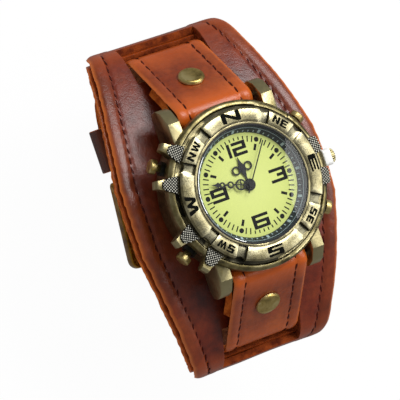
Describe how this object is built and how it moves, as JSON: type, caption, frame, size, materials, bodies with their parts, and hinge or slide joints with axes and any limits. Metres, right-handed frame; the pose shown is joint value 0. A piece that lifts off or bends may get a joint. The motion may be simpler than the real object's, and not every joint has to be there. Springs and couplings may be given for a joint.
{
  "type": "cuff watch",
  "caption": "Wide burnished leather cuff watch with an antique brass compass bezel, four pushers and a pin buckle.",
  "frame": {"origin": "bottom centre of the closed watch's box, on the surface that it stands on", "axes": "+X to 3 o'clock, +Y to 12 o'clock, +Z out of the dial"},
  "size_m": [0.0528, 0.0812, 0.0632],
  "materials": {
    "burnished_leather": "glossy burnished",
    "lining_leather": "satin",
    "keeper_leather": "satin",
    "antique_brass": "antiqued satin",
    "polished_steel": "brushed",
    "movement_brass": "satin",
    "mineral_glass": "polished",
    "dial_print": "matt",
    "chapter_print": "satin",
    "black_lacquer": "gloss",
    "nitrile_rubber": "matt",
    "movement_plastic": "moulded",
    "white_plastic": "moulded",
    "circuit_board": "lacquered",
    "copper_wire": "enamelled",
    "magnet_iron": "ground"
  },
  "bodies": {
    "case": {"case_body": "antique_brass", "knurled_guards": "polished_steel", "case_back": "polished_steel", "case_back_gasket": "nitrile_rubber", "crystal": "mineral_glass", "crystal_gasket": "movement_plastic", "chapter_ring": "chapter_print", "dial": "dial_print", "main_plate": "movement_brass", "train_bridge": "movement_brass", "movement_screws": "polished_steel", "motor_stator": "magnet_iron", "coil_core": "magnet_iron", "coil_winding": "copper_wire", "battery": "polished_steel", "battery_clip": "polished_steel", "circuit_board": "circuit_board", "quartz_can": "polished_steel", "movement_holder": "movement_plastic", "crown_tube": "antique_brass", "pusher_tubes": "antique_brass", "pusher_spring_2": "polished_steel", "pusher_spring_4": "polished_steel", "pusher_spring_8": "polished_steel", "pusher_spring_10": "polished_steel", "spring_bars": "polished_steel", "strap_buckle_half": "burnished_leather", "strap_tail_half": "burnished_leather", "rivet_caps": "antique_brass", "rivet_posts": "antique_brass", "cuff_outer": "burnished_leather", "cuff_lining": "lining_leather"},
    "bezel": {"compass_bezel": "antique_brass", "bezel_ring": "polished_steel"},
    "minute_hand": {"cannon_pinion": "movement_brass", "minute_hand": "black_lacquer"},
    "minute_wheel": {"minute_wheel": "movement_brass"},
    "hour_hand": {"hour_wheel": "movement_brass", "hour_hand": "black_lacquer"},
    "setting_wheel": {"setting_wheel": "movement_brass"},
    "crown": {"crown": "antique_brass", "setting_stem": "polished_steel", "crown_gasket": "nitrile_rubber"},
    "second_hand": {"second_wheel": "movement_brass", "second_hand": "black_lacquer"},
    "third_wheel": {"third_wheel": "movement_brass"},
    "centre_wheel": {"centre_wheel": "movement_brass"},
    "fifth_wheel": {"fifth_wheel": "movement_brass"},
    "rotor": {"motor_rotor": "magnet_iron"},
    "stop_clip": {"crown_stop_clip": "white_plastic"},
    "buckle_frame": {"buckle_frame": "antique_brass", "buckle_hinge_pin": "antique_brass"},
    "buckle_tongue": {"buckle_tongue": "antique_brass"},
    "keeper": {"strap_keeper": "keeper_leather"},
    "pusher_2": {"pusher_2": "antique_brass"},
    "pusher_4": {"pusher_4": "antique_brass"},
    "pusher_8": {"pusher_8": "antique_brass"},
    "pusher_10": {"pusher_10": "antique_brass"}
  },
  "joints": [
    {"name": "minute_hand_turn", "type": "hinge", "parent": "case", "child": "minute_hand", "pos_m": [0, 0, 0.0599], "axis": [0, 0, -1], "continuous": true},
    {"name": "minute_wheel_turn", "type": "hinge", "parent": "case", "child": "minute_wheel", "pos_m": [0.003, 0, 0.0599], "axis": [0, 0, -1], "continuous": true},
    {"name": "hour_hand_turn", "type": "hinge", "parent": "case", "child": "hour_hand", "pos_m": [0, 0, 0.0599], "axis": [0, 0, -1], "continuous": true},
    {"name": "setting_wheel_turn", "type": "hinge", "parent": "case", "child": "setting_wheel", "pos_m": [0.00675, 0, 0.0599], "axis": [0, 0, -1], "continuous": true},
    {"name": "crown_turn", "type": "hinge", "parent": "case", "child": "crown", "pos_m": [0.02264, 0, 0.0577], "axis": [1, 0, 0], "continuous": true},
    {"name": "second_hand_turn", "type": "hinge", "parent": "case", "child": "second_hand", "pos_m": [0, 0, 0.0599], "axis": [0, 0, -1], "continuous": true},
    {"name": "third_wheel_turn", "type": "hinge", "parent": "case", "child": "third_wheel", "pos_m": [-0.0018, -0.00312, 0.0599], "axis": [0, 0, -1], "continuous": true},
    {"name": "centre_wheel_turn", "type": "hinge", "parent": "case", "child": "centre_wheel", "pos_m": [0, 0, 0.0599], "axis": [0, 0, -1], "continuous": true},
    {"name": "fifth_wheel_turn", "type": "hinge", "parent": "case", "child": "fifth_wheel", "pos_m": [-0.00312, 0.0018, 0.0599], "axis": [0, 0, -1], "continuous": true},
    {"name": "rotor_turn", "type": "hinge", "parent": "case", "child": "rotor", "pos_m": [-0.00494, 0.00285, 0.0599], "axis": [0, 0, -1], "continuous": true},
    {"name": "bezel_turn", "type": "hinge", "parent": "case", "child": "bezel", "pos_m": [0, 0, 0.0599], "axis": [0, 0, -1], "continuous": true},
    {"name": "stop_clip_pull", "type": "slide", "parent": "case", "child": "stop_clip", "axis": [0, 0, 1], "range_m": [0, 0.01]},
    {"name": "buckle_frame_hinge", "type": "hinge", "parent": "case", "child": "buckle_frame", "pos_m": [0, 0.0085, 0.00635], "axis": [1, 0, 0], "range_deg": [0, 2.5]},
    {"name": "buckle_tongue_hinge", "type": "hinge", "parent": "buckle_frame", "child": "buckle_tongue", "pos_m": [0, 0.0085, 0.00635], "axis": [1, 0, 0], "range_deg": [0, 4]},
    {"name": "keeper_slide", "type": "slide", "parent": "case", "child": "keeper", "axis": [0, 1, 0], "range_m": [0, 0.003]},
    {"name": "pusher_2_press", "type": "slide", "parent": "case", "child": "pusher_2", "axis": [-0.866, -0.5, 0], "range_m": [0, 0.001], "stiffness_N_per_m": 400, "springref_m": -0.0005, "deforming": ["pusher_spring_2"]},
    {"name": "pusher_4_press", "type": "slide", "parent": "case", "child": "pusher_4", "axis": [-0.866, 0.5, 0], "range_m": [0, 0.001], "stiffness_N_per_m": 400, "springref_m": -0.0005, "deforming": ["pusher_spring_4"]},
    {"name": "pusher_8_press", "type": "slide", "parent": "case", "child": "pusher_8", "axis": [0.866, 0.5, 0], "range_m": [0, 0.001], "stiffness_N_per_m": 400, "springref_m": -0.0005, "deforming": ["pusher_spring_8"]},
    {"name": "pusher_10_press", "type": "slide", "parent": "case", "child": "pusher_10", "axis": [0.866, -0.5, 0], "range_m": [0, 0.001], "stiffness_N_per_m": 400, "springref_m": -0.0005, "deforming": ["pusher_spring_10"]}
  ],
  "couplings": [
    {"joint": "minute_wheel_turn", "follows": "minute_hand_turn", "ratio": -0.33333},
    {"joint": "hour_hand_turn", "follows": "minute_hand_turn", "ratio": 0.083333},
    {"joint": "setting_wheel_turn", "follows": "minute_hand_turn", "ratio": 0.5},
    {"joint": "crown_turn", "follows": "minute_hand_turn", "ratio": 1},
    {"joint": "third_wheel_turn", "follows": "second_hand_turn", "ratio": -0.13333},
    {"joint": "centre_wheel_turn", "follows": "second_hand_turn", "ratio": 0.016667},
    {"joint": "fifth_wheel_turn", "follows": "second_hand_turn", "ratio": -5},
    {"joint": "rotor_turn", "follows": "second_hand_turn", "ratio": 30}
  ]
}
